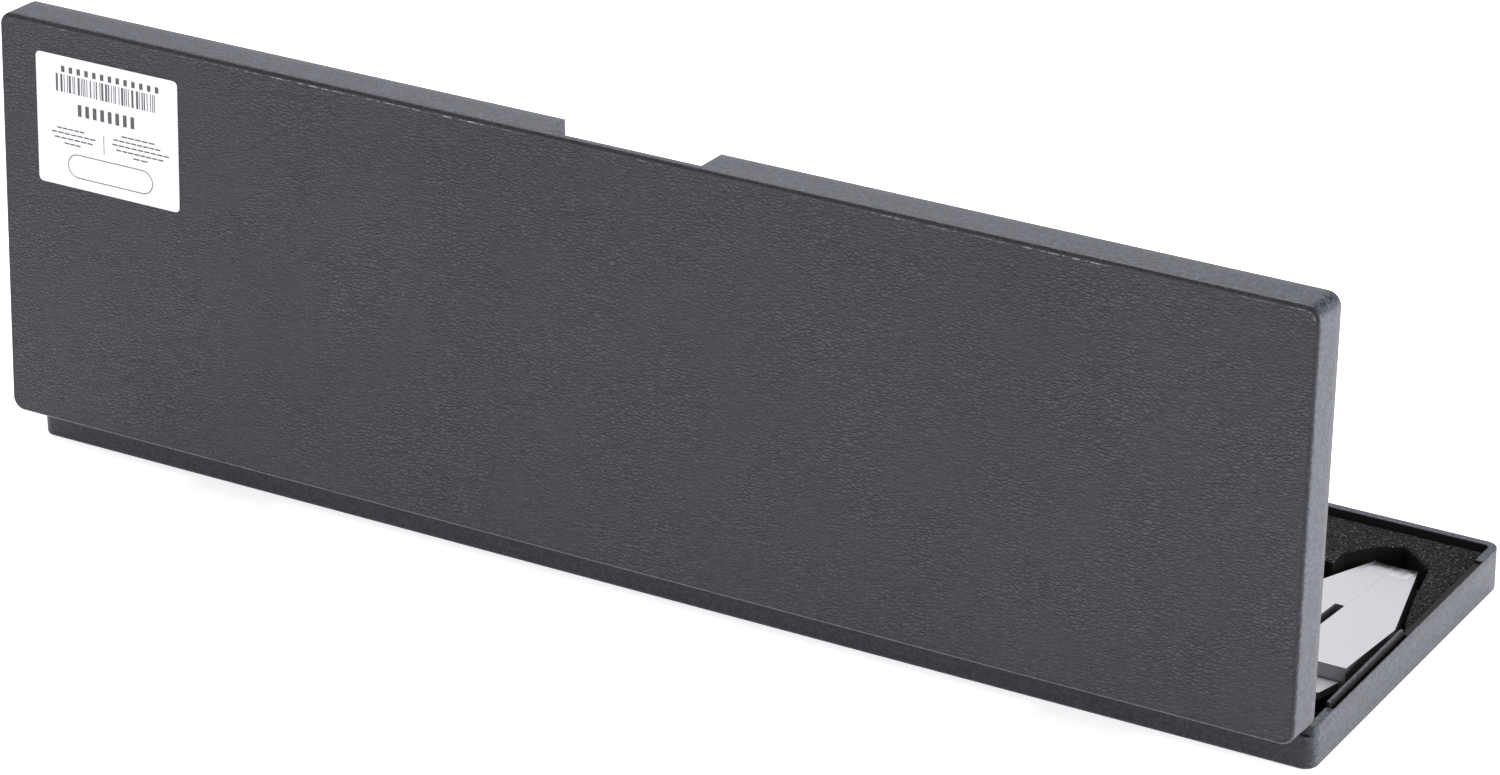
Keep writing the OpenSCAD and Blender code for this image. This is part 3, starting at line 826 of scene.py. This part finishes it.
def fine_nut():
    """Knurled nut on the spindle, in the carriage's slot."""
    bm = bmesh.new()

    def place(z, a, b):
        return on_seat(z, NUT_H + a, SLIDE_MID + b)

    knurled(bm, NUT_R, NUT_U[0], NUT_U[1], place, teeth=40, bore=1.55)
    make("fine_nut_piece", bm, (KNURL,), "nut", ["fine_nut"], 25.0)


def caliper():
    """All metal pieces."""
    for node, body in (("caliper_beam", "beam"), ("slider", "slider")):
        dressed(node, body, STEEL, milled=True)
    dressed("carriage", "carriage", STEEL, 0.3)
    dressed("vernier_plate", "slider", CHROME)
    dressed("end_stop", "beam", CHROME)
    for node in ("slider_gib", "carriage_gib"):
        plain(node, BRONZE)
    for node in ("gib_screws", "fine_spindle", "hinge_pins", "vernier_screws", "end_stop_screws"):
        plain(node, SCREW)
    beam_scale()
    vernier_scale()
    thumb_screw("slider_lock_screw", SLIDER_LOCK_U)
    thumb_screw("carriage_lock_screw", CARRIAGE_LOCK_U)
    fine_nut()


# ---------- label ----------

LABEL_X0 = -CASE_L / 2 + 12.9
LABEL_V1 = CASE_W - 9.4
LABEL_L = 50.0
LABEL_H = 40.0
LABEL_T = 0.10
LABEL_R = 1.5


def pill_outline(bm, xs, ys, place):
    """Thin printed outline with round ends."""
    r = (ys[1] - ys[0]) / 2
    steps = 14
    middle = (ys[0] + ys[1]) / 2
    rims = []
    for inset in (0.0, 0.3):
        ring = []
        for cx, start in ((xs[1] - r, -90), (xs[0] + r, 90)):
            for k in range(steps + 1):
                a = math.radians(start + 180 * k / steps)
                ring.append((cx + (r - inset) * math.cos(a), middle + (r - inset) * math.sin(a)))
        rims.append(ring)
    bottom, top = LABEL_T - 0.02, LABEL_T + 0.012
    rows = []
    for (xo, yo), (xi, yi) in zip(*rims):
        section = ((xo, yo, bottom), (xo, yo, top), (xi, yi, top), (xi, yi, bottom))
        corners = [bm.verts.new(place(*point)) for point in section]
        rows.append(corners + corners[:1])
    grid_faces(bm, rows, 1)


def label():
    """Plain white sticker with printed bars, rows of marks and an empty frame, and no lettering."""
    bm = bmesh.new()
    r = LABEL_R
    right, upper = LABEL_L - r, LABEL_H - r
    rim = []
    for cx, cy, start in ((right, upper, 0), (r, upper, 90), (r, r, 180), (right, r, 270)):
        for k in range(7):
            a = math.radians(start + 15 * k)
            rim.append((cx + r * math.cos(a), cy + r * math.sin(a)))

    def place(x, y, t):
        """x from the label's left edge, y up from its lower edge, t above the lid's face."""
        return on_lid(LABEL_X0 + x, LABEL_V1 - LABEL_H + y, HALF_H + 0.012 + t)

    low = [bm.verts.new(place(x, y, 0.0)) for x, y in rim]
    high = [bm.verts.new(place(x, y, LABEL_T)) for x, y in rim]
    for k in range(len(rim)):
        n = (k + 1) % len(rim)
        bm.faces.new((low[k], low[n], high[n], high[k]))
    bm.faces.new(high)
    bm.faces.new(low)

    def printed(x0, x1, y0, y1):
        block(bm, (x0, y0, LABEL_T - 0.02), (x1, y1, LABEL_T + 0.012), place, 1)

    def row(x0, x1, top, height, count, filled=0.6):
        """Evenly spaced marks between x0 and x1; top is measured from the label's top edge."""
        pitch = (x1 - x0) / count
        for k in range(count):
            printed(x0 + k * pitch, x0 + (k + filled) * pitch, LABEL_H - top - height, LABEL_H - top)

    stripes = random.Random(11)
    x = 7.0
    while x < 42.0:
        wide = stripes.choice((0.3, 0.3, 0.45, 0.75))
        printed(x, x + wide, LABEL_H - 11.0, LABEL_H - 5.6)
        x += wide + stripes.choice((0.3, 0.45, 0.6, 0.9))
    row(9.0, 45.0, 3.0, 1.9, 13, 0.45)
    row(14.6, 36.0, 13.9, 3.6, 8, 0.5)
    left_lines = ((7.0, 17.0), (5.0, 21.0), (6.0, 20.0), (9.5, 15.5))
    right_lines = ((30.0, 42.0), (27.0, 44.0), (26.6, 47.0), (28.0, 45.0), (34.0, 39.5))
    for first, lines in ((22.0, left_lines), (20.4, right_lines)):
        for line, (x0, x1) in enumerate(lines):
            row(x0, x1, first + 1.5 * line, 0.45, round((x1 - x0) / 2.2), 0.85)
    printed(23.5, 23.75, LABEL_H - 27.5, LABEL_H - 21.8)
    pill_outline(bm, (10.5, 40.8), (LABEL_H - 36.8, LABEL_H - 29.4), place)
    make("lid_label", bm, (WHITE, INK), "lid", ["label"], 30.0)


# ---------- stage ----------

def floor():
    bm = bmesh.new()
    bmesh.ops.create_grid(bm, x_segments=1, y_segments=1, size=8.0)
    mesh = bpy.data.meshes.new("floor")
    bm.to_mesh(mesh)
    bm.free()
    mesh.materials.append(floor_material())
    obj = bpy.data.objects.new("floor", mesh)
    bpy.context.scene.collection.objects.link(obj)


def area_light(name, place, target, size, power):
    data = bpy.data.lights.new(name, "AREA")
    data.shape = "RECTANGLE"
    data.size, data.size_y = size
    data.energy = power
    obj = bpy.data.objects.new(name, data)
    obj.location = place
    obj.rotation_euler = (Vector(target) - Vector(place)).to_track_quat("-Z", "Y").to_euler()
    bpy.context.scene.collection.objects.link(obj)


STUDIO_LEVEL = 1.32
DARK_PLACES = (
    ((0.43, 0.78, 0.46), 0.55, 1.1),
    ((-0.25, -0.60, 0.76), 0.35, 0.75),
    ((-0.76, 0.50, 0.42), 0.93, 1.1),
)


def surroundings():
    """Even white studio with three darker places, each given by its direction, its spread and its depth."""
    world = bpy.data.worlds.new("studio")
    bpy.context.scene.world = world
    world.use_nodes = True
    tree = world.node_tree
    background = tree.nodes["Background"]
    background.inputs[0].default_value = (0.96, 0.965, 1.0, 1)
    coord = tree.nodes.new("ShaderNodeTexCoord").outputs["Generated"]
    level = tree.nodes.new("ShaderNodeValue").outputs[0]
    level.default_value = STUDIO_LEVEL
    for direction, spread, depth in DARK_PLACES:
        along = tree.nodes.new("ShaderNodeVectorMath")
        along.operation = "DOT_PRODUCT"
        tree.links.new(coord, along.inputs[0])
        along.inputs[1].default_value = direction
        dip = tree.nodes.new("ShaderNodeMapRange")
        dip.interpolation_type = "SMOOTHSTEP"
        tree.links.new(along.outputs["Value"], dip.inputs["Value"])
        for key, value in (("From Min", spread), ("From Max", 0.97), ("To Min", 0.0), ("To Max", depth)):
            dip.inputs[key].default_value = value
        less = tree.nodes.new("ShaderNodeMath")
        less.operation = "SUBTRACT"
        tree.links.new(level, less.inputs[0])
        tree.links.new(dip.outputs[0], less.inputs[1])
        level = less.outputs[0]
    tree.links.new(level, background.inputs[1])


def lights():
    area_light("top_softbox", (-0.5, 0.5, 1.7), (0, 0, 0.05), (1.0, 0.8), 19.0)
    area_light("right_softbox", (1.7, 0.3, 0.40), (0.1, 0, 0.03), (0.9, 0.6), 18.0)
    surroundings()


CAMERA_AZIMUTH = 30.416
CAMERA_ELEVATION = 25.320
CAMERA_ROLL = -0.315
CAMERA_TARGET = (0.00446, -0.00689, 0.04267)
CAMERA_DISTANCE = 1.59025
CAMERA_LENS = 132.58


def camera():
    """Long lens at the height of someone standing at the table, from behind the lid."""
    data = bpy.data.cameras.new("camera")
    data.lens = CAMERA_LENS
    data.sensor_width = 36.0
    obj = bpy.data.objects.new("camera", data)
    bpy.context.scene.collection.objects.link(obj)
    turn = (Matrix.Rotation(math.radians(CAMERA_AZIMUTH), 4, "Z")
            @ Matrix.Rotation(math.radians(90 - CAMERA_ELEVATION), 4, "X")
            @ Matrix.Rotation(math.radians(CAMERA_ROLL), 4, "Z"))
    back = turn.to_3x3() @ Vector((0, 0, CAMERA_DISTANCE))
    obj.matrix_world = Matrix.Translation(Vector(CAMERA_TARGET) + back) @ turn
    bpy.context.scene.camera = obj


base_shell()
lid_shell()
foam_piece("base_foam", "base_foam_piece", "base")
strip = foam_piece("foam_jaw_strip", "foam_strip_piece", "base", grow=(0.7, 0.5, 0.04))
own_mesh(strip)
foam_piece("lid_foam", "lid_foam_piece", "lid", voxel=1.4, rough=0.1)
dressed("latch_clip", "latch", CLIP_PLASTIC, 0.3)
caliper()
label()
floor()
lights()
camera()
bpy.context.scene.view_settings.view_transform = "Standard"
